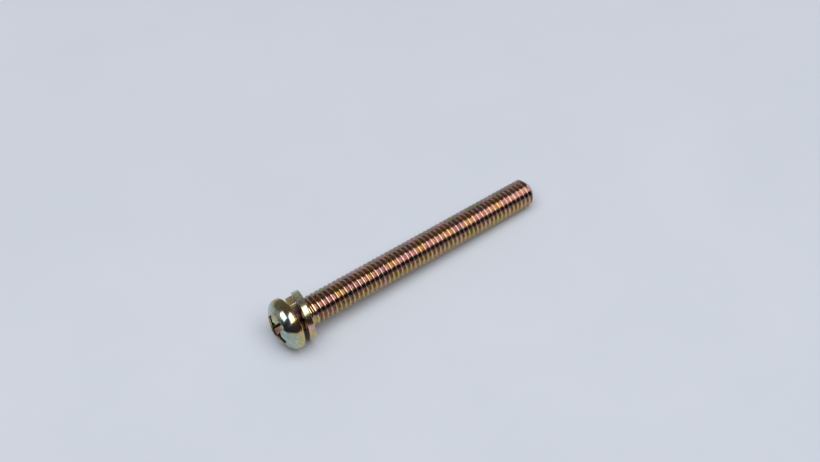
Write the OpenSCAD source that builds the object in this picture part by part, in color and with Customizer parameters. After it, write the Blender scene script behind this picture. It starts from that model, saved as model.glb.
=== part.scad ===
// Cross-recessed pan head machine screw, M4 x 0.7 x 40, with a captive split lock washer.
// The screw is drawn along its own axis: the bearing face of the head is at z = 0 and the
// shank runs along +z. It is then laid on the ground, which it touches with the rim of the
// head and with the last crest of the thread. Directions round the axis are given from
// straight up, turning towards the front (-y).

/* [Thread] */
// Diameter over the crests
thread_d = 3.93; // [3.9:0.01:3.98]
// Distance from one crest to the next
pitch = 0.7; // [0.6:0.05:0.8]
// Length of the chamfer at the tip
tip_chamfer = 0.6; // [0.3:0.05:1]

/* [Shank] */
// Length under the head
shank_l = 39.25; // [16:0.25:50]
// Distance from the bearing face to the first crest
neck_l = 3.2; // [3.2:0.1:6]
// Diameter of the plain neck that the washer turns on
neck_d = 3.5; // [3.4:0.01:3.52]
// Fillet between the neck and the bearing face
neck_fillet = 0.2; // [0.05:0.05:0.4]

/* [Head] */
// Diameter of the head at its rim
head_d = 7; // [6.7:0.1:9]
// Height of the head
head_h = 2.25; // [1.9:0.05:3.2]
// Radius of the crowned top
dome_r = 5; // [4.5:0.1:12]
// Radius of the shoulder between the crown and the side
shoulder_r = 0.9; // [0.3:0.05:1]
// Radius of the rim's edge at the bearing face
rim_r = 0.15; // [0.05:0.05:0.3]

/* [Cross recess] */
// Span over two opposite wings at the top
wing_span = 4.3; // [3.8:0.1:4.8]
// Width of a wing at the top
wing_w = 1.05; // [0.8:0.05:1.3]
// Depth of the recess below the crown
recess_depth = 1.8; // [1.2:0.05:1.85]
// Diameter of the round core between the wings at the top
core_d = 2.3; // [1.8:0.05:2.6]
// Diameter of the core at the bottom
core_low_d = 0.8; // [0.5:0.05:1.2]
// Slope of the wing ends
wing_taper = 26; // [10:1:32]
// Draft of the wing sides
wing_draft = 4; // [1:0.5:7]
// Direction of one of the wings
wing_way = 30; // [0:1:89]

/* [Lock washer] */
// Outside diameter
washer_d = 6.5; // [5.8:0.05:6.6]
// Play of the bore on the neck, too little to pass the thread
washer_play = 0.36; // [0.34:0.01:0.38]
// Thickness
washer_t = 0.95; // [0.5:0.05:1]
// Size of the blunted corners of the section
washer_edge = 0.12; // [0.05:0.01:0.2]
// Distance along the axis from one end of the strip to the other
washer_spring = 0.85; // [0.3:0.05:0.9]
// Angle that the split takes out of the ring
split_angle = 16; // [6:1:30]
// Slant of the cut ends to the axis
split_slant = 15; // [0:1:25]
// Direction of the split
split_way = -72; // [-180:1:180]
// Lean of the loose washer on the neck
washer_lean = 13; // [0:0.5:13.5]
// Direction in which the leaning washer is nearest to the head
lean_way = 54; // [-180:1:180]
// Distance towards the tip from the middle of the neck to the middle of the washer
washer_shift = 0.29; // [0.26:0.01:0.3]

/* [Hidden] */
$fn = 96;
plating = [0.62, 0.52, 0.3];
washer_plating = [0.58, 0.56, 0.3];
over = 0.05;

// Metric thread form: flanks at 60 degrees and a crest flat of an eighth of the pitch
crest_w = pitch / 8;
thread_h = 0.6134 * pitch;
flank = tan(30);
crest_r = thread_d / 2;
neck_r = neck_d / 2;
root_w = pitch - crest_w - 2 * thread_h * flank;

// Crests stand up to the chamfer of the tip
chamfer_at = shank_l - tip_chamfer;
tip_r = crest_r - tip_chamfer;
grooves = ceil((shank_l - neck_l) / pitch);
full_crests = floor((chamfer_at - neck_l) / pitch);
last_crest = min(chamfer_at, neck_l + full_crests * pitch + crest_w);

// Resting attitude, with the tip lower than the head
rest_rise = head_d / 2 - rim_r - crest_r;
rest_run = last_crest + rim_r;
rest_tilt = atan(rest_rise / rest_run) + asin(rim_r / norm([rest_rise, rest_run]));
axis_z = crest_r * cos(rest_tilt) + last_crest * sin(rest_tilt);

// The whole screw is centred on the origin between the crown and the tip
crown_edge = core_d / 2;
crown_z = dome_r - head_h - sqrt(pow(dome_r, 2) - pow(crown_edge, 2));
low_x = crown_z * cos(rest_tilt) - crown_edge * sin(rest_tilt);
high_x = shank_l * cos(rest_tilt) + tip_r * sin(rest_tilt);
axis_x = -(low_x + high_x) / 2;

// Centre of the shoulder's arc, which touches the crown's arc and the side
crown_c = head_h - dome_r;
shoulder_x = head_d / 2 - shoulder_r;
shoulder_z = crown_c + sqrt(pow(dome_r - shoulder_r, 2) - pow(shoulder_x, 2));
shoulder_a = atan2(shoulder_x, shoulder_z - crown_c);

module lay_down() {
    translate([axis_x, 0, axis_z]) rotate([0, 90 + rest_tilt, 0]) children();
}

// Half section of the head, with the bearing face on the x axis and the crown up
module head_section() {
    rim_x = head_d / 2 - rim_r;
    intersection() {
        translate([0, crown_c]) circle(r = dome_r);
        translate([0, crown_c])
            polygon([[0, 0], 2 * dome_r * [sin(shoulder_a), cos(shoulder_a)], [0, 2 * dome_r]]);
        square([head_d / 2, head_h]);
    }
    translate([shoulder_x, shoulder_z]) circle(r = shoulder_r);
    translate([rim_x, rim_r]) circle(r = rim_r);
    square([shoulder_x, shoulder_z]);
    square([rim_x, rim_r]);
    translate([0, rim_r]) square([head_d / 2, shoulder_z - rim_r]);
}

// One bar of the cross, lying along x, with its narrow bottom at z = 0
module recess_bar() {
    end_low = wing_span / 2 - recess_depth * tan(wing_taper);
    side_low = wing_w / 2 - recess_depth * tan(wing_draft);
    above = 2 * recess_depth;
    intersection() {
        rotate([90, 0, 0]) linear_extrude(2 * wing_w, center = true)
            polygon([
                [-end_low, 0], [end_low, 0], [wing_span / 2, recess_depth], [wing_span / 2, above],
                [-wing_span / 2, above], [-wing_span / 2, recess_depth]
            ]);
        rotate([90, 0, 90]) linear_extrude(2 * wing_span, center = true)
            polygon([
                [-side_low, 0], [side_low, 0], [wing_w / 2, recess_depth], [wing_w / 2, above],
                [-wing_w / 2, above], [-wing_w / 2, recess_depth]
            ]);
    }
}

module recess() {
    for (turn = [0, 90]) rotate(wing_way + turn) recess_bar();
    cylinder(d1 = core_low_d, d2 = core_d, h = recess_depth);
}

module head() {
    mirror([0, 0, 1]) difference() {
        rotate_extrude() head_section();
        translate([0, 0, head_h - recess_depth]) recess();
    }
}

// Half section of the shank before its thread is rolled, running up from the head
module blank_section() {
    ramp = (crest_r - neck_r) / flank;
    polygon([
        [0, -over], [neck_r, -over], [neck_r, neck_l - ramp], [crest_r, neck_l],
        [crest_r, chamfer_at], [tip_r, shank_l], [0, shank_l]
    ]);
    difference() {
        square([neck_r + neck_fillet, neck_fillet]);
        translate([neck_r + neck_fillet, neck_fillet]) circle(r = neck_fillet);
    }
}

// Section of the groove between two crests, centred on the x axis
module groove_section() {
    mouth = root_w / 2 + (thread_h + over) * flank;
    polygon([
        [crest_r - thread_h, -root_w / 2], [crest_r + over, -mouth],
        [crest_r + over, mouth], [crest_r - thread_h, root_w / 2]
    ]);
}

module shank() {
    rotate_extrude() difference() {
        blank_section();
        for (i = [0:grooves - 1])
            translate([0, neck_l + (pitch + crest_w) / 2 + i * pitch]) groove_section();
    }
}

module screw() {
    color(plating) lay_down() {
        head();
        shank();
    }
}

// Section of the washer's strip as [radius, height], with its corners blunted
washer_r = washer_d / 2;
bore_r = (neck_d + washer_play) / 2;
half_t = washer_t / 2;
strip = [
    [bore_r + washer_edge, -half_t], [washer_r - washer_edge, -half_t],
    [washer_r, washer_edge - half_t], [washer_r, half_t - washer_edge],
    [washer_r - washer_edge, half_t], [bore_r + washer_edge, half_t],
    [bore_r, half_t - washer_edge], [bore_r, washer_edge - half_t]
];
strip_steps = 60;
strip_turn = 360 - split_angle;
slant = tan(split_slant) / washer_r * 180 / PI;
strip_angle = function(i, p) strip_turn * (i / strip_steps - 0.5) + slant * p[1];
strip_point = function(i, p)
    let(a = strip_angle(i, p))
    [p[0] * cos(a), p[0] * sin(a), p[1] - washer_spring * a / strip_turn];

// The strip carried round a left-hand helix, with its split on the side of -x
module washer_ring() {
    n = len(strip);
    points = [for (i = [0:strip_steps], p = strip) strip_point(i, p)];
    faces = [
        [for (j = [0:n - 1]) j],
        for (i = [0:strip_steps - 1], j = [0:n - 1])
            [n * i + j, n * i + n + j, n * i + n + (j + 1) % n, n * i + (j + 1) % n],
        [for (j = [n - 1:-1:0]) n * strip_steps + j]
    ];
    polyhedron(points, faces, convexity = 4);
}

// A direction from straight up is a turn from -x here, because laying down turns -x up
module lock_washer() {
    color(washer_plating) lay_down() translate([0, 0, neck_l / 2 + washer_shift])
        rotate(lean_way) rotate([0, -washer_lean, 0]) rotate(split_way - lean_way) washer_ring();
}

screw();
lock_washer();
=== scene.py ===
"""A yellow-plated pan head machine screw with a captive split lock washer, lying on pale paper.

Sizes are in millimetres in the screw's own frame, as in the part's source: the bearing face of
the head is at z = 0 and the shank runs along +z. lay_down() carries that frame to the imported
model's frame, in metres, with local -x up. A way round the axis is given in degrees from
straight up, turning towards the front. The floor, the lights and the camera are in metres.
"""
import math

import bpy
import numpy as np
from mathutils import Matrix, Vector


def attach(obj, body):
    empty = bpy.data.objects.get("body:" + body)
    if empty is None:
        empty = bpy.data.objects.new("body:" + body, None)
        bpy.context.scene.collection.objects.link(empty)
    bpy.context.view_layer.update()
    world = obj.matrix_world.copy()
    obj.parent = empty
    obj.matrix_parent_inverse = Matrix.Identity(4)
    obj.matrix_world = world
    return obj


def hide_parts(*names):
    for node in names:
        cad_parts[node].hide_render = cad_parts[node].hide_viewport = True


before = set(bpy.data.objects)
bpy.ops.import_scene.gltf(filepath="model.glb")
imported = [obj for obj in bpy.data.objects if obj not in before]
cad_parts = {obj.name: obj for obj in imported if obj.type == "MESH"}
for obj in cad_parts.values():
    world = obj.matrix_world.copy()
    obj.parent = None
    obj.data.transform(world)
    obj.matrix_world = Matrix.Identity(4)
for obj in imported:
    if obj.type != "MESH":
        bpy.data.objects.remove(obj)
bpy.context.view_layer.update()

MM = 0.001

# Thread
CREST_R = 1.965
PITCH = 0.7
CREST_W = PITCH / 8
THREAD_H = 0.6134 * PITCH
FLANK_SLOPE = math.tan(math.radians(60))
CREST_SOFT = 0.045
ROOT_SOFT = 0.11
RUNOUT = 0.5 * PITCH
THREAD_WAY = 52.5

# Shank
SHANK_L = 39.25
CHAMFER = 0.6
CHAMFER_AT = SHANK_L - CHAMFER
CHAMFER_SOFT = 0.05
TIP_R = CREST_R - CHAMFER
TIP_EDGE = 0.05
TIP_RISE = 0.02
TIP_HOLLOW = 0.13
TIP_SLOPE = 0.19
NECK_L = 3.2
NECK_R = 1.75
NECK_SOFT = 0.03
NECK_FILLET = 0.2
RAMP_SLOPE = math.tan(math.radians(30))
THREAD_SOFT = 0.015

# Faint ridges at the end of the neck: height, and how they come and go along the axis
MARK_H = 0.10
MARK_START = ((2.0, 0), (2.5, 1))
MARK_END = ((3.0, 1), (3.3, 0))

# Head
HEAD_R = 3.5
HEAD_H = 2.25
DOME_R = 5.0
SHOULDER_R = 0.9
RIM_R = 0.15
# How far inside the shank the head's shell closes, across and along the axis
TUCK_R = 0.03
TUCK_Z = 0.01
# How far the shading of the shoulder is turned, and how that grows with the radius and the way
ROLL = math.radians(13)
ROLL_BY_RADIUS = ((1.3, 0), (2.3, ROLL))
ROLL_BY_WAY = ((0, 1), (22, 1), (45, 2.2), (95, 2.2), (120, 1), (360, 1))

# Cross recess. It lies within one radius and above one height over the bearing face.
WING_SPAN = 4.3
WING_W = 1.05
WING_TAPER = math.tan(math.radians(26))
WING_DRAFT = math.tan(math.radians(4))
WING_WAY = math.radians(30)
WING_SOFT = 0.06
RECESS_DEPTH = 1.8
RECESS_POINT = 0.16
RECESS_LIP = 0.07
RECESS_WITHIN = 2.3
RECESS_ABOVE = 0.3
CORE_R = 1.15
CORE_LOW_R = 0.4
CORE_SOFT = 0.05

# Lock washer
WASHER_R = 3.25
BORE_R = 1.93
STRIP_R = 2.6
WASHER_T = 0.95
WASHER_CORNER = 0.14
WASHER_SPRING = 0.85
SPLIT_ANGLE = 16.0
SPLIT_SLANT = 15.0
SPLIT_WAY = -72.0
END_BLUNT = 0.09
WASHER_LEAN = 13.0
LEAN_WAY = 54.0
WASHER_AT = NECK_L / 2 + 0.29

# Fineness of the head: points a ring, and rings on each surface from the recess to the neck
HEAD_STEPS = 360
FLOOR_RINGS = 7
WALL_RINGS = 16
CROWN_RINGS = 22
SHOULDER_RINGS = 18
RIM_RINGS = 8
SEAT_RINGS = 8
FILLET_RINGS = 6
# Share of the radius at which the rings of a round face stop, next to its middle
INNERMOST = 0.12

# Fineness of the shank: points a ring, heights of the rings on the plain neck, where the fine
# rings start and how many there are to a pitch, and rings on the tip's edge and end
SHANK_STEPS = 64
NECK_RINGS = (-0.5, 0.3, 1.0, 1.6)
FINE_FROM = 1.9
RINGS_A_PITCH = 24
EDGE_RINGS = 4
HOLLOW_RINGS = 7

# Fineness of the washer: sections along it, points a corner, and sections in a blunt end. The
# rings that have the ends' colour are the blunt ones and the next few.
WASHER_STEPS = 240
CORNER_STEPS = 7
END_STEPS = 4
END_RINGS = 7

# Colours of a chromate film on zinc, from teal and pale silver green through straw, gold, orange
# and salmon to mauve and olive. A film value is a place on this scale.
FILM = (
    (0.00, (0.35, 0.49, 0.44)),
    (0.12, (0.45, 0.50, 0.42)),
    (0.24, (0.50, 0.51, 0.30)),
    (0.36, (0.64, 0.50, 0.20)),
    (0.48, (0.72, 0.46, 0.24)),
    (0.60, (0.72, 0.47, 0.39)),
    (0.72, (0.64, 0.37, 0.36)),
    (0.84, (0.48, 0.36, 0.29)),
    (1.00, (0.40, 0.39, 0.20)),
)

# Film on the head: by radius on the crown, at the top of the shoulder and for each radian round
# it, and on the side, the rim, the bearing face and the fillet
CROWN_FILM = ((2.2, 0.07), (3.2, 0.15))
SHOULDER_FILM = 0.14
SHOULDER_GAIN = 0.22
SIDE_FILM = 0.40
RIM_FILM = 0.34
SEAT_FILM = 0.36
FILLET_FILM = 0.30

# The recess by depth under the crown: its film, which turns pale again near the floor as a painted
# reflection, and painted shade that thins to its mouth
FLOOR_FILM = 0.34
RECESS_FILM_AND_REFLECTION = ((0.0, 0.14), (0.2, 0.50), (1.05, 0.60), (1.3, 0.06))
RECESS_PAINTED_SHADE = ((0.02, 0), (0.16, 0.93), (0.5, 0.88), (1.05, 0.84), (1.35, 0.68))

# Painted shade on the top edge of the head, with a small shift of its film, by way and by radius
BACK_BY_WAY = ((0, 1), (8, 0.7), (20, 0), (310, 0), (335, 1), (360, 1))
BACK_BY_RADIUS = ((2.7, 0), (3.0, 1))
BACK_PAINTED_SHADE = 0.58
BACK_FILM = 0.06

# Film on the shank by way, which paints how each side looks under the lights: salmon on top, a
# narrow mauve band that is painted shade under the highlight row, gold below it, olive at the back
SHANK_FILM_AND_SHADE = (
    (0, 0.50), (12, 0.52), (28, 0.60), (42, 0.58), (48, 0.88), (58, 0.86), (65, 0.50),
    (75, 0.46), (110, 0.43), (220, 0.40), (300, 0.90), (342, 0.80), (350, 0.52), (360, 0.50),
)
# Slow waves of the film along the shank as size, length and phase, and their share by way
FILM_WAVES = ((0.09, 4.3, 0.6), (0.05, 2.6, 0.0))
WAVES_BY_WAY = ((0, 1), (50, 1), (80, 0.4), (200, 0.4), (280, 1), (360, 1))
# Film shift in the thread's grooves, and painted shade that darkens them
GROOVE_FILM = 0.05
GROOVE_SHADE = 0.65

# Film on the washer by way, and on its cut ends
WASHER_FILM = (
    (0, 0.20), (20, 0.22), (45, 0.26), (62, 0.50), (70, 0.66), (80, 0.50), (95, 0.32),
    (130, 0.27), (360, 0.20),
)
END_FILM = 0.33
# Painted light that brightens the washer's cut ends, and painted shade on its face towards the
# head
END_PAINTED_LIGHT = 1.4
SEAT_PAINTED_SHADE = 0.45

# Sizes of the patterns, as noise scales over metres
PATCHES = 420
MOTTLE = 1900
SPECKS = 2600
SCRATCHES = 3400
PITS = 5200
PAPER_CLOUD = 35
PAPER_FIBRES = 2600

# Light of the room by the height of the direction it comes from, as one tint at several levels
NEAR_TINT = (1.0, 0.65, 0.92)
NEAR_LEVELS = ((0.0, 0.02), (0.2, 0.03), (0.45, 0.035), (0.7, 0.06), (0.85, 0.16), (1.0, 0.2))
FAR_TINT = (1.0, 0.94, 0.97)
FAR_LEVELS = ((0.0, 0.32), (0.3, 0.42), (0.6, 0.33), (0.8, 0.30), (1.0, 0.2))
# Where the near side of the room goes over to the far side, along y
FAR_FROM = 0.1
FAR_TO = 0.6

FLOOR_HALF = 0.9

# The photograph's frame and focal length in pixels, the place of the middle of the bearing face
# in it, that point's distance in metres, how steeply the camera looks down, the direction of
# the shank along the camera's right, down and forward axes, and the sensor's width in mm
FRAME_W = 820
FRAME_H = 462
FOCAL = 1575.0
BEARING_X = 289.7
BEARING_Y = 322.6
BEARING_FAR = 0.198
LOOK_DOWN = math.radians(48.7)
SHANK_SEEN = (0.7906, -0.4341, 0.4319)
SENSOR = 36.0


def resting():
    """Tilt of the axis and the place of the bearing face when the rim of the head and the last
    crest lie on the ground, with the whole screw centred on the origin along x."""
    last = NECK_L + math.floor((CHAMFER_AT - NECK_L) / PITCH) * PITCH + CREST_W
    last = min(CHAMFER_AT, last)
    rise = HEAD_R - RIM_R - CREST_R
    run = last + RIM_R
    tilt = math.atan(rise / run) + math.asin(RIM_R / math.hypot(rise, run))
    height = CREST_R * math.cos(tilt) + last * math.sin(tilt)
    top = DOME_R - HEAD_H - math.sqrt(DOME_R**2 - CORE_R**2)
    low_x = top * math.cos(tilt) - CORE_R * math.sin(tilt)
    high_x = SHANK_L * math.cos(tilt) + TIP_R * math.sin(tilt)
    return tilt, -(low_x + high_x) / 2, height


TILT, AXIS_X, AXIS_Z = resting()


def lay_down(p):
    """Points (..., 3) of the screw's frame in mm, turned by 90 degrees plus the resting tilt
    about y, moved to their place and given in metres."""
    x, y, z = p[..., 0], p[..., 1], p[..., 2]
    s, c = math.sin(TILT), math.cos(TILT)
    return np.stack([AXIS_X - x * s + z * c, y, AXIS_Z - x * c - z * s], -1) * MM


def turn_down(n):
    """Directions (..., 3) of the screw's frame, turned as lay_down turns points."""
    x, y, z = n[..., 0], n[..., 1], n[..., 2]
    s, c = math.sin(TILT), math.cos(TILT)
    return np.stack([-x * s + z * c, y, -x * c - z * s], -1)


def soft_max(a, b, k):
    """The larger of a and b, with the corner between them rounded over about k."""
    return 0.5 * (a + b + np.sqrt((a - b) ** 2 + k * k))


def soft_min(a, b, k):
    """The smaller of a and b, with the corner between them rounded over about k."""
    return 0.5 * (a + b - np.sqrt((a - b) ** 2 + k * k))


def between(x, stops):
    """Values at x on the straight lines that join the stops, given as (place, value)."""
    return np.interp(x, *zip(*stops))


def polar(r, a, z):
    """Points from radius, angle in radians and height."""
    return np.stack([r * np.cos(a), r * np.sin(a), z + 0 * r], -1)


def way_round(verts):
    """Way of each vertex round the axis, which is its angle from local -x."""
    return (np.degrees(np.arctan2(verts[:, 1], verts[:, 0])) + 180) % 360


def skin(rings, first, last):
    """Vertices, quads and triangles of closed rings (rows, columns, 3), with a fan to the
    point first before the first ring and to the point last after the last ring."""
    rows, cols = rings.shape[:2]
    verts = np.concatenate([rings.reshape(-1, 3), [first, last]])
    i = np.arange(rows * cols).reshape(rows, cols)
    a, b = i[:-1], i[1:]
    quads = np.stack([a, np.roll(a, -1, 1), np.roll(b, -1, 1), b], -1).reshape(-1, 4)
    top, end = rows * cols, rows * cols + 1
    fan_a = np.stack([np.full(cols, top), np.roll(i[0], -1), i[0]], -1)
    fan_b = np.stack([np.full(cols, end), i[-1], np.roll(i[-1], -1)], -1)
    return verts, quads, np.concatenate([fan_a, fan_b])


def make_object(name, shell, values, material, normals=None):
    """One smooth mesh object from a closed shell (verts, quads, tris). values holds named
    numbers of the vertices, and normals their shading directions."""
    verts, quads, tris = shell
    loops = np.concatenate([quads.reshape(-1), tris.reshape(-1)]).astype(np.int32)
    sizes = np.repeat([4, 3], [len(quads), len(tris)]).astype(np.int32)
    starts = np.concatenate([[0], np.cumsum(sizes)[:-1]]).astype(np.int32)
    mesh = bpy.data.meshes.new(name)
    mesh.vertices.add(len(verts))
    mesh.vertices.foreach_set("co", verts.astype(np.float32).reshape(-1))
    mesh.loops.add(len(loops))
    mesh.loops.foreach_set("vertex_index", loops)
    mesh.polygons.add(len(sizes))
    mesh.polygons.foreach_set("loop_start", starts)
    mesh.polygons.foreach_set("loop_total", sizes)
    mesh.polygons.foreach_set("use_smooth", np.ones(len(sizes), bool))
    for key, value in values.items():
        layer = mesh.attributes.new(key, "FLOAT", "POINT")
        layer.data.foreach_set("value", np.asarray(value, np.float32))
    mesh.update(calc_edges=True)
    mesh.validate()
    if normals is not None:
        mesh.normals_split_custom_set_from_vertices(normals.tolist())
    obj = bpy.data.objects.new(name, mesh)
    bpy.context.collection.objects.link(obj)
    mesh.materials.append(material)
    return obj


# Materials


def colour_ramp(tree, fac, stops):
    """A ramp driven by fac through the stops, given as (place, colour)."""
    node = tree.nodes.new("ShaderNodeValToRGB")
    tree.links.new(fac, node.inputs["Fac"])
    elements = node.color_ramp.elements
    while len(elements) < len(stops):
        elements.new(0.5)
    for element, (at, colour) in zip(elements, stops):
        element.position = at
        element.color = (*colour, 1.0)
    return node.outputs["Color"]


class Nodes:
    """Short names for building a material's nodes."""

    def __init__(self, name):
        self.material = bpy.data.materials.new(name)
        self.material.use_nodes = True
        self.tree = self.material.node_tree
        self.shader = self.tree.nodes["Principled BSDF"]

    def link(self, source, target):
        """Joins an output socket to an input socket."""
        self.tree.links.new(source, target)

    def set(self, node, key, value):
        """Links a socket to the node's input, or gives the input a plain value."""
        if isinstance(value, bpy.types.NodeSocket):
            self.link(value, node.inputs[key])
        else:
            node.inputs[key].default_value = value

    def add(self, kind, **inputs):
        """A new node with the given inputs, whose names have _ for a space."""
        node = self.tree.nodes.new(kind)
        for key, value in inputs.items():
            self.set(node, key.replace("_", " "), value)
        return node

    def math(self, operation, a, b):
        """The sum, difference or product of two values or sockets."""
        node = self.tree.nodes.new("ShaderNodeMath")
        node.operation = operation
        self.set(node, 0, a)
        self.set(node, 1, b)
        return node.outputs[0]

    def swing(self, fac, size):
        """Turns a pattern from 0 to 1 into one that swings by size about zero."""
        return self.math("MULTIPLY", self.math("SUBTRACT", fac, 0.5), size)

    def noise(self, scale, detail, rough, shift=(0, 0, 0), warp=0.0):
        """Noise on the piece's own coordinates in metres, moved by shift."""
        coords = self.tree.nodes.new("ShaderNodeTexCoord")
        place = self.add("ShaderNodeMapping", Vector=coords.outputs["Object"], Location=shift)
        node = self.add("ShaderNodeTexNoise", Vector=place.outputs[0], Scale=scale,
                        Detail=detail, Roughness=rough, Distortion=warp)
        return node.outputs["Fac"]

    def value(self, name):
        """A named number of the vertices."""
        node = self.tree.nodes.new("ShaderNodeAttribute")
        node.attribute_name = name
        return node.outputs["Fac"]

    def span(self, fac, low, high, to_low, to_high):
        """Carries the range from low to high over to the range from to_low to to_high."""
        node = self.add("ShaderNodeMapRange", Value=fac, From_Min=low, From_Max=high,
                        To_Min=to_low, To_Max=to_high)
        return node.outputs["Result"]

    def bump(self, height, strength, distance):
        """A normal tilted by the height pattern, whose full height is distance in metres."""
        node = self.add("ShaderNodeBump", Height=height, Strength=strength, Distance=distance)
        return node.outputs["Normal"]


def film_material(name, swing, rough):
    """Bright metal under a chromate film. The film value of each vertex says which colour it
    has; noise drifts it by swing, in patches along and round the part. A second value of each
    vertex scales the colour, together with fine specks: below one it is painted shade, above
    one painted light. The roughness varies about rough."""
    n = Nodes(name)
    patches = n.swing(n.noise(PATCHES, 2.0, 0.55, warp=0.6), swing)
    mottle = n.swing(n.noise(MOTTLE, 3.0, 0.6, (0.3, 0.1, 0.7)), swing * 0.35)
    film = n.math("ADD", n.math("ADD", n.value("film"), patches), mottle)
    # the colour is scaled by painted light and shade together with fine specks
    shade_and_specks = n.tree.nodes.new("ShaderNodeVectorMath")
    shade_and_specks.operation = "SCALE"
    n.link(colour_ramp(n.tree, film, FILM), shade_and_specks.inputs[0])
    specks = n.span(n.noise(SPECKS, 4.0, 0.65, (0.2, 0.9, 0.1)), 0.36, 0.64, 0.72, 1.15)
    n.link(n.math("MULTIPLY", n.value("painted_light"), specks), shade_and_specks.inputs["Scale"])
    n.link(shade_and_specks.outputs[0], n.shader.inputs["Base Color"])
    n.shader.inputs["Metallic"].default_value = 1.0
    pits = n.span(n.noise(PITS, 4.0, 0.65), 0.3, 0.8, rough * 0.7, rough * 1.5)
    n.link(pits, n.shader.inputs["Roughness"])
    scratches = n.bump(n.noise(SCRATCHES, 3.0, 0.6, (0.6, 0.2, 0.4)), 0.45, 0.015 * MM)
    n.link(scratches, n.shader.inputs["Normal"])
    return n.material


def paper_material():
    """Pale, faintly blue paper with a soft fibre texture."""
    n = Nodes("paper")
    cloud = n.noise(PAPER_CLOUD, 3.0, 0.6)
    tones = ((0.3, (0.562, 0.572, 0.668)), (0.7, (0.584, 0.591, 0.686)))
    n.link(colour_ramp(n.tree, cloud, tones), n.shader.inputs["Base Color"])
    n.shader.inputs["Roughness"].default_value = 0.75
    n.shader.inputs["Specular IOR Level"].default_value = 0.25
    fibres = n.bump(n.noise(PAPER_FIBRES, 3.0, 0.7), 0.15, 0.02 * MM)
    n.link(fibres, n.shader.inputs["Normal"])
    return n.material


# Head


def wing_outline(a, depth):
    """Distance from the axis to the wall of the cross recess, at the angles a and at a depth
    under the flat of the crown. It is the furthest of two tapered bars and a cone, with the
    corners between them rounded."""
    end = WING_SPAN / 2 - depth * WING_TAPER
    side = WING_W / 2 - depth * WING_DRAFT
    core = CORE_R + (CORE_LOW_R - CORE_R) * depth / RECESS_DEPTH
    tiny = 1e-6
    c = np.abs(np.cos(a - WING_WAY)) + tiny
    s = np.abs(np.sin(a - WING_WAY)) + tiny
    bar_a = soft_min(end / c, side / s, WING_SOFT)
    bar_b = soft_min(end / s, side / c, WING_SOFT)
    return soft_max(soft_max(bar_a, bar_b, CORE_SOFT), core, CORE_SOFT)


def crown(r):
    """Height of the domed top over the bearing face, counted along -z: an arc of DOME_R."""
    return HEAD_H - DOME_R + np.sqrt(DOME_R**2 - r**2)


def recess_mouth(a):
    """Distance from the axis to the line where the recess's wall meets the crown, found by
    repeating the outline at the crown's own depth."""
    first_guess, rounds = 0.1, 8
    mouth = wing_outline(a, first_guess)
    for _ in range(rounds):
        mouth = wing_outline(a, HEAD_H - crown(mouth))
    return mouth


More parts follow.
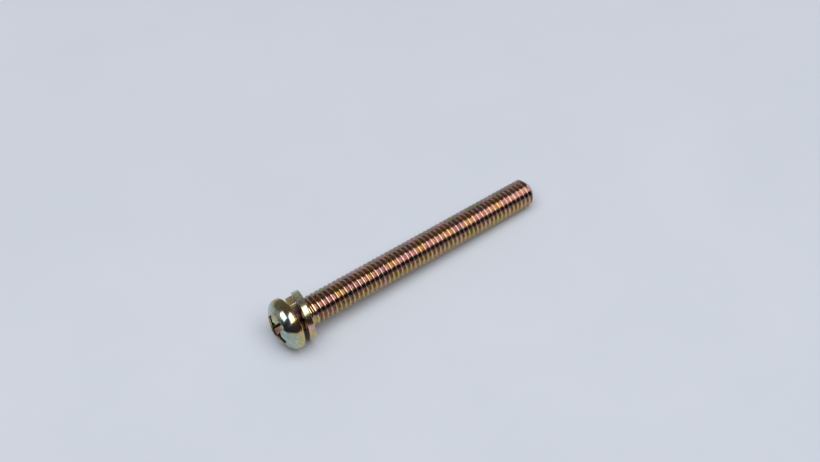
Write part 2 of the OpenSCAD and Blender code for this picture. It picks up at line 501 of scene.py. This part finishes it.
def head_shell():
    """The head from the bottom of the recess, up its walls, over the crown, round the shoulder
    and the rim, and along the bearing face into the neck, as rings about the axis: a pointed
    floor, drafted walls with a flared lip, and arcs for the crown, shoulder, rim and fillet.
    Returns the shell, its film and painted light values, and the roll of its shading."""
    a = np.linspace(0, 2 * np.pi, HEAD_STEPS, endpoint=False)
    quarter = np.pi / 2
    rings, film, roll = [], [], []

    def ring(r, h, value, turned=0.0):
        """Adds the ring of radius r at the height h over the bearing face."""
        rings.append(polar(r + 0 * a, a, -h))
        film.append(value + 0 * a)
        roll.append(turned + 0 * a)

    floor_h = HEAD_H - RECESS_DEPTH
    floor_r = wing_outline(a, RECESS_DEPTH)
    for k in np.linspace(INNERMOST, 1, FLOOR_RINGS):
        ring(floor_r * k, floor_h - RECESS_POINT * (1 - k), FLOOR_FILM)

    # rings on the walls and on the crown crowd together towards the recess's lip
    mouth = recess_mouth(a)
    top = HEAD_H - crown(mouth)
    for k in 1 - np.linspace(0.06, 1, WALL_RINGS) ** 1.5:
        depth = top + (RECESS_DEPTH - top) * k
        near = np.clip(1 - (depth - top) / (2 * RECESS_LIP), 0, 1)
        ring(wing_outline(a, depth) + RECESS_LIP * near**2, HEAD_H - depth, FLOOR_FILM)

    start = mouth + RECESS_LIP
    shoulder_x = HEAD_R - SHOULDER_R
    edge = DOME_R / (DOME_R - SHOULDER_R) * shoulder_x
    for k in np.linspace(0, 1, CROWN_RINGS) ** 1.3:
        r = start + (edge - start) * k
        ring(r, crown(r), between(r, CROWN_FILM), between(r, ROLL_BY_RADIUS))

    shoulder_z = HEAD_H - DOME_R + math.sqrt((DOME_R - SHOULDER_R) ** 2 - shoulder_x**2)
    sweep = math.asin(shoulder_x / (DOME_R - SHOULDER_R))
    for g in np.linspace(sweep, quarter, SHOULDER_RINGS)[1:]:
        r = shoulder_x + SHOULDER_R * math.sin(g)
        turned = ROLL * (quarter - g) / (quarter - sweep)
        value = SHOULDER_FILM + SHOULDER_GAIN * (g - sweep)
        ring(r, shoulder_z + SHOULDER_R * math.cos(g), value, turned)

    ring(HEAD_R, (shoulder_z + RIM_R) / 2, SIDE_FILM)
    rim_x = HEAD_R - RIM_R
    for g in np.linspace(0, quarter, RIM_RINGS):
        ring(rim_x + RIM_R * math.cos(g), RIM_R - RIM_R * math.sin(g), RIM_FILM)

    fillet_x = NECK_R + NECK_FILLET
    for r in np.linspace(rim_x, fillet_x, SEAT_RINGS)[1:]:
        ring(r, 0, SEAT_FILM)
    for g in np.linspace(0, quarter, FILLET_RINGS)[1:]:
        h = -NECK_FILLET * (1 - math.cos(g))
        ring(fillet_x - NECK_FILLET * math.sin(g), h, FILLET_FILM)

    last_z = NECK_FILLET + TUCK_Z
    ring(NECK_R - TUCK_R, -last_z, FILLET_FILM)
    verts, quads, tris = skin(np.array(rings), [0, 0, RECESS_POINT - floor_h], [0, 0, last_z])
    film = np.concatenate([np.array(film).reshape(-1), [FLOOR_FILM, FILLET_FILM]])
    roll = np.concatenate([np.array(roll).reshape(-1), [0, 0]])

    radius = np.hypot(verts[:, 0], verts[:, 1])
    way = way_round(verts)
    under = crown(radius) + verts[:, 2]
    # inside marks the recess, where painted shade deepens with depth and the film turns pale near
    # the floor as a painted reflection
    inside = (radius < RECESS_WITHIN) & (verts[:, 2] < -RECESS_ABOVE)
    # back marks the top edge of the shoulder, which gets painted shade
    back = between(way, BACK_BY_WAY) * between(radius, BACK_BY_RADIUS)
    painted_light = np.where(inside, 1 - between(under, RECESS_PAINTED_SHADE), 1 - BACK_PAINTED_SHADE * back)
    film = np.where(inside, between(under, RECESS_FILM_AND_REFLECTION), film + BACK_FILM * back)
    roll = roll * between(way, ROLL_BY_WAY)
    shell = lay_down(verts), quads[:, ::-1], tris[:, ::-1]
    return shell, {"film": film, "painted_light": painted_light}, roll


def roll_normals(obj, roll):
    """Tips the shading normals away from the crown by the angles in roll, which gives the worn
    tool's softer shoulder its reflections without a change of outline."""
    count = len(obj.data.vertices)
    normal = np.empty(count * 3)
    place = np.empty(count * 3)
    obj.data.vertices.foreach_get("normal", normal)
    obj.data.vertices.foreach_get("co", place)
    normal, place = normal.reshape(-1, 3), place.reshape(-1, 3)
    axis = turn_down(np.array([0.0, 0.0, 1.0]))
    start = lay_down(np.array([0.0, 0.0, 0.0]))
    out = (place - start) - np.outer((place - start) @ axis, axis)
    out /= np.maximum(np.linalg.norm(out, axis=1), 1e-9)[:, None]
    tilt = np.arctan2((normal * out).sum(1), -(normal @ axis)) + roll
    turned = out * np.sin(tilt)[:, None] - axis * np.cos(tilt)[:, None]
    normal = np.where((roll > 0)[:, None], turned, normal)
    obj.data.normals_split_custom_set_from_vertices(normal.tolist())


# Shank


def blank_radius(z):
    """Radius of the shank before its thread is rolled: neck, 30 degree ramp, full diameter and
    the chamfer of the tip, with soft corners."""
    ramp_at = NECK_L - (CREST_R - NECK_R) / RAMP_SLOPE
    ramp = NECK_R + (z - ramp_at) * RAMP_SLOPE
    r = soft_min(soft_max(ramp, NECK_R, NECK_SOFT), CREST_R, NECK_SOFT)
    return soft_min(r, CREST_R - (z - CHAMFER_AT), CHAMFER_SOFT)


def from_crest(z, a):
    """Distance along the axis to the nearest crest line, in pitches. The line climbs by one
    pitch a turn and passes the end of the neck at THREAD_WAY."""
    line = NECK_L + PITCH * (np.degrees(a) - 180 - THREAD_WAY) / 360
    turns = (z - line) / PITCH
    return np.abs(turns - np.round(turns))


def thread_depth(z, a):
    """Depth of the groove under the crests at height z and angle a. The distance to the
    nearest crest line gives 60 degree flanks between a rounded crest and a rounded root. The
    groove fades in over the run-out behind the neck."""
    flank = FLANK_SLOPE * (from_crest(z, a) * PITCH - CREST_W / 2)
    top = soft_max(-FLANK_SLOPE * CREST_W / 2, 0, CREST_SOFT)
    depth = soft_min(soft_max(flank, 0, CREST_SOFT) - top, THREAD_H, ROOT_SOFT)
    return depth * np.clip((z - NECK_L + RUNOUT / 2) / RUNOUT, 0, 1)


def shank_radius(z, a):
    """The shank's surface is the lower of the blank and the thread. Low ridges in line with the
    thread, a squared cosine across each pitch, mark the end of the neck."""
    ridge = np.cos(from_crest(z, a) * np.pi) ** 2
    mark = MARK_H * between(z, MARK_START) * between(z, MARK_END) * ridge
    return soft_min(blank_radius(z) + mark, CREST_R - thread_depth(z, a), THREAD_SOFT)


def shank_shell():
    """The neck, thread and chamfered tip as rings about the axis, with normals worked out from
    the slope of the surface, then the rounded edge of the tip and its end, hollowed as a
    parabola. Returns the shell, its film and painted light values, and its normals."""
    a = np.linspace(0, 2 * np.pi, SHANK_STEPS, endpoint=False)
    fine = np.arange(FINE_FROM, SHANK_L, PITCH / RINGS_A_PITCH)
    z = np.concatenate([NECK_RINGS, fine, [SHANK_L]])
    zz, aa = np.meshgrid(z, a, indexing="ij")
    r = shank_radius(zz, aa)
    step = 0.004  # half the span, in mm and in radians, over which a slope is measured
    rz = (shank_radius(zz + step, aa) - shank_radius(zz - step, aa)) / (2 * step)
    ra = (shank_radius(zz, aa + step) - shank_radius(zz, aa - step)) / (2 * step)
    out = np.stack([np.cos(aa), np.sin(aa), 0 * aa], -1)
    side = np.stack([-np.sin(aa), np.cos(aa), 0 * aa], -1)
    along = np.array([0.0, 0.0, 1.0])
    wall_normals = out - (ra / r)[..., None] * side - rz[..., None] * along

    end_r = r[-1]
    end_z = SHANK_L + TIP_RISE
    k = np.linspace(0, 1, EDGE_RINGS)[1:, None]
    edge = polar(end_r - TIP_EDGE * k, a, SHANK_L + TIP_RISE * np.sin(k * np.pi / 2))
    edge_normals = out[0] * (1 - k[..., None]) + along * k[..., None]
    k = np.linspace(1, INNERMOST, HOLLOW_RINGS)[1:, None]
    hollow = polar((end_r - TIP_EDGE) * k, a, end_z - TIP_HOLLOW * (1 - k**2))
    hollow_normals = along - out[0] * TIP_SLOPE * k[..., None]

    rings = np.concatenate([polar(r, aa, zz), edge, hollow])
    verts, quads, tris = skin(rings, [0, 0, z[0]], [0, 0, end_z - TIP_HOLLOW])
    normals = np.concatenate([wall_normals, edge_normals, hollow_normals]).reshape(-1, 3)
    normals = np.concatenate([normals, [-along, along]])
    normals /= np.linalg.norm(normals, axis=1)[:, None]

    groove = np.clip((CREST_R - np.hypot(verts[:, 0], verts[:, 1])) / THREAD_H, 0, 1)
    way = way_round(verts)
    waves = sum(size * np.sin(verts[:, 2] * 2 * np.pi / length + phase)
                for size, length, phase in FILM_WAVES)
    # the film by way paints each side's colour and shade as lit
    film = between(way, SHANK_FILM_AND_SHADE) + GROOVE_FILM * groove + waves * between(way, WAVES_BY_WAY)
    # painted shade darkens the thread's grooves
    painted_light = 1 - GROOVE_SHADE * groove
    shell = lay_down(verts), quads, tris
    return shell, {"film": film, "painted_light": painted_light}, turn_down(normals)


# Lock washer


def strip_section(inset):
    """Radii and heights round the outline of the washer's strip, a rectangle whose corners are
    quarter arcs, drawn in by inset. It starts at the outer corner towards the head."""
    corner = WASHER_CORNER
    outer, inner = WASHER_R - corner, BORE_R + corner
    low, high = corner - WASHER_T / 2, WASHER_T / 2 - corner
    x = np.repeat([outer, outer, inner, inner], CORNER_STEPS)
    y = np.repeat([low, high, high, low], CORNER_STEPS)
    g = np.radians(np.add.outer([-90, 0, 90, 180], np.linspace(0, 90, CORNER_STEPS)).reshape(-1))
    return x + (corner - inset) * np.cos(g), y + (corner - inset) * np.sin(g)


def spin(p, degrees):
    """Points turned about the z axis."""
    s, c = math.sin(math.radians(degrees)), math.cos(math.radians(degrees))
    x, y, z = p[..., 0], p[..., 1], p[..., 2]
    return np.stack([x * c - y * s, x * s + y * c, z], -1)


def lean(p, degrees):
    """Points turned about the y axis."""
    s, c = math.sin(math.radians(degrees)), math.cos(math.radians(degrees))
    x, y, z = p[..., 0], p[..., 1], p[..., 2]
    return np.stack([x * c + z * s, y, -x * s + z * c], -1)


def washer_shell():
    """The strip carried round a left-hand helix, sprung open, with slanted cut ends whose edges
    are blunt, then leant on the neck. Returns the shell and its film and painted light values."""
    turn = 360 - SPLIT_ANGLE
    slant = math.degrees(math.tan(math.radians(SPLIT_SLANT)) / WASHER_R)
    blunt = math.degrees(END_BLUNT / STRIP_R)

    # the section grows over a quarter arc at each end
    g = np.linspace(0, np.pi / 2, END_STEPS, endpoint=False)
    end_at = blunt * (1 - np.cos(g)) - turn / 2
    end_inset = END_BLUNT * (1 - np.sin(g))
    body_at = np.linspace(blunt - turn / 2, turn / 2 - blunt, WASHER_STEPS)
    at = np.concatenate([end_at, body_at, -end_at[::-1]])[:, None]
    inset = np.concatenate([end_inset, 0 * body_at, end_inset[::-1]])[:, None]
    radius, height = strip_section(inset)
    g = at + slant * height
    rings = polar(radius, np.radians(g), height - WASHER_SPRING * g / turn)

    verts, quads, tris = skin(rings, rings[0].mean(0), rings[-1].mean(0))
    verts = spin(lean(spin(verts, SPLIT_WAY - LEAN_WAY), -WASHER_LEAN), LEAN_WAY)
    verts = verts + np.array([0, 0, WASHER_AT])

    # the first and last rings with both fans, and the columns round the face towards the head
    rows, cols = rings.shape[:2]
    end_count = END_RINGS * cols
    ends = np.ones(len(verts), bool)
    ends[end_count:rows * cols - end_count] = False
    column = np.arange(cols)
    seat = np.tile((column <= CORNER_STEPS // 2) | (column >= 3 * CORNER_STEPS), rows)
    seat = np.concatenate([seat, [False, False]])
    film = np.where(ends, END_FILM, between(way_round(verts), WASHER_FILM))
    # the cut ends are brightened as painted light and the face towards the head darkened as
    # painted shade
    painted_light = np.where(ends, END_PAINTED_LIGHT, np.where(seat, SEAT_PAINTED_SHADE, 1.0))
    shell = lay_down(verts), quads, tris
    return shell, {"film": film, "painted_light": painted_light}


# Stage


def make_floor():
    """A flat square of paper at z = 0, which isn't part of the screw."""
    corners = [(-1, -1), (1, -1), (1, 1), (-1, 1)]
    mesh = bpy.data.meshes.new("floor")
    mesh.from_pydata([(x * FLOOR_HALF, y * FLOOR_HALF, 0) for x, y in corners], [], [(0, 1, 2, 3)])
    mesh.update()
    floor = bpy.data.objects.new("floor", mesh)
    bpy.context.collection.objects.link(floor)
    mesh.materials.append(paper_material())
    return floor


def area_light(name, place, target, size, power, colour, receivers):
    """A soft rectangular light at place, facing target, that lights only the receivers."""
    light = bpy.data.lights.new(name, "AREA")
    light.shape = "RECTANGLE"
    light.size, light.size_y = size
    light.energy = power
    light.color = colour
    obj = bpy.data.objects.new(name, light)
    bpy.context.collection.objects.link(obj)
    obj.location = place
    toward = Vector(target) - Vector(place)
    obj.rotation_euler = toward.to_track_quat("-Z", "Y").to_euler()
    lit = bpy.data.collections.new("lit_by_" + name)
    for receiver in receivers:
        lit.objects.link(receiver)
    obj.light_linking.receiver_collection = lit


def make_lights(head, shank, washer, floor):
    """The head mirrors a lamp and a window, each smaller than the soft light over the shank,
    and the paper has its own light, so that the shadow shows in front of the shank."""
    middle = (0, 0, 0)
    beside_head = (-0.22, 0, 0)
    area_light("overhead", (-0.22, -0.42, 0.85), beside_head, (1.45, 0.90), 16.6,
               (0.965, 1.0, 0.965), [shank])
    area_light("lamp", (-0.16, -0.335, 0.85), beside_head, (0.88, 0.60), 4.6,
               (1.0, 0.975, 0.955), [head, washer])
    area_light("window", (-0.53, 0.17, 0.36), middle, (0.34, 0.15), 0.85,
               (0.97, 0.985, 1.0), [head])
    area_light("sky", (-0.10, -0.20, 0.85), middle, (1.30, 0.90), 11.8,
               (0.92, 1.0, 0.935), [floor])


def make_room():
    """Dim light from all round, darker from the near side than from the far side."""
    world = bpy.data.worlds.new("room")
    bpy.context.scene.world = world
    world.use_nodes = True
    tree = world.node_tree
    coords = tree.nodes.new("ShaderNodeTexCoord")
    split = tree.nodes.new("ShaderNodeSeparateXYZ")
    tree.links.new(coords.outputs["Generated"], split.inputs[0])
    side = tree.nodes.new("ShaderNodeMapRange")
    tree.links.new(split.outputs["Y"], side.inputs["Value"])
    side.inputs["From Min"].default_value = FAR_FROM
    side.inputs["From Max"].default_value = FAR_TO
    mix = tree.nodes.new("ShaderNodeMix")
    mix.data_type = "RGBA"
    tree.links.new(side.outputs["Result"], mix.inputs["Factor"])
    for key, tint, levels in (("A", NEAR_TINT, NEAR_LEVELS), ("B", FAR_TINT, FAR_LEVELS)):
        stops = [(at, [level * part for part in tint]) for at, level in levels]
        tree.links.new(colour_ramp(tree, split.outputs["Z"], stops), mix.inputs[key])
    tree.links.new(mix.outputs["Result"], tree.nodes["Background"].inputs["Color"])
    tree.nodes["Background"].inputs["Strength"].default_value = 1.0


def make_camera():
    """Placed so that the middle of the bearing face and the direction of the shank fall where
    they do in the photograph's frame."""
    camera = bpy.data.cameras.new("camera")
    camera.sensor_width = SENSOR
    camera.lens = FOCAL / FRAME_W * SENSOR
    camera.clip_start = 0.01
    camera.clip_end = 20
    obj = bpy.data.objects.new("camera", camera)
    bpy.context.collection.objects.link(obj)
    # columns of seen: the model's x, y and z in the camera's right, down and forward axes
    along = Vector(SHANK_SEEN).normalized()
    up = Vector((0, -math.cos(LOOK_DOWN), -math.sin(LOOK_DOWN)))
    x = (along - up * along.dot(up)).normalized()
    y = up.cross(x)
    seen = Matrix((x, y, up)).transposed()
    across = (BEARING_X - FRAME_W / 2) / FOCAL
    below = (BEARING_Y - FRAME_H / 2) / FOCAL
    bearing = Vector((AXIS_X * MM, 0, AXIS_Z * MM))
    here = bearing - seen.transposed() @ (Vector((across, below, 1.0)) * BEARING_FAR)
    right, down, forward = seen.row[0], seen.row[1], seen.row[2]
    turn = Matrix((right, -down, -forward)).transposed()
    obj.matrix_world = Matrix.Translation(here) @ turn.to_4x4()
    bpy.context.scene.camera = obj


plating = film_material("chromate_film", 0.55, 0.165)
washer_plating = film_material("washer_film", 0.40, 0.20)

head_skin, head_values, head_roll = head_shell()
head = make_object("screw_head", head_skin, head_values, plating)
roll_normals(head, head_roll)
shank_skin, shank_values, shank_normals = shank_shell()
shank = make_object("screw_shank", shank_skin, shank_values, plating, shank_normals)
washer_skin, washer_values = washer_shell()
washer = make_object("split_washer", washer_skin, washer_values, washer_plating)

for piece, node, body, slot in (
    (head, "screw", "screw", "plating"),
    (shank, "screw", "screw", "plating"),
    (washer, "lock_washer", "lock_washer", "washer_plating"),
):
    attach(piece, body)
    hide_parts(node)

make_lights(head, shank, washer, make_floor())
make_room()
make_camera()
bpy.context.scene.view_settings.view_transform = "Standard"
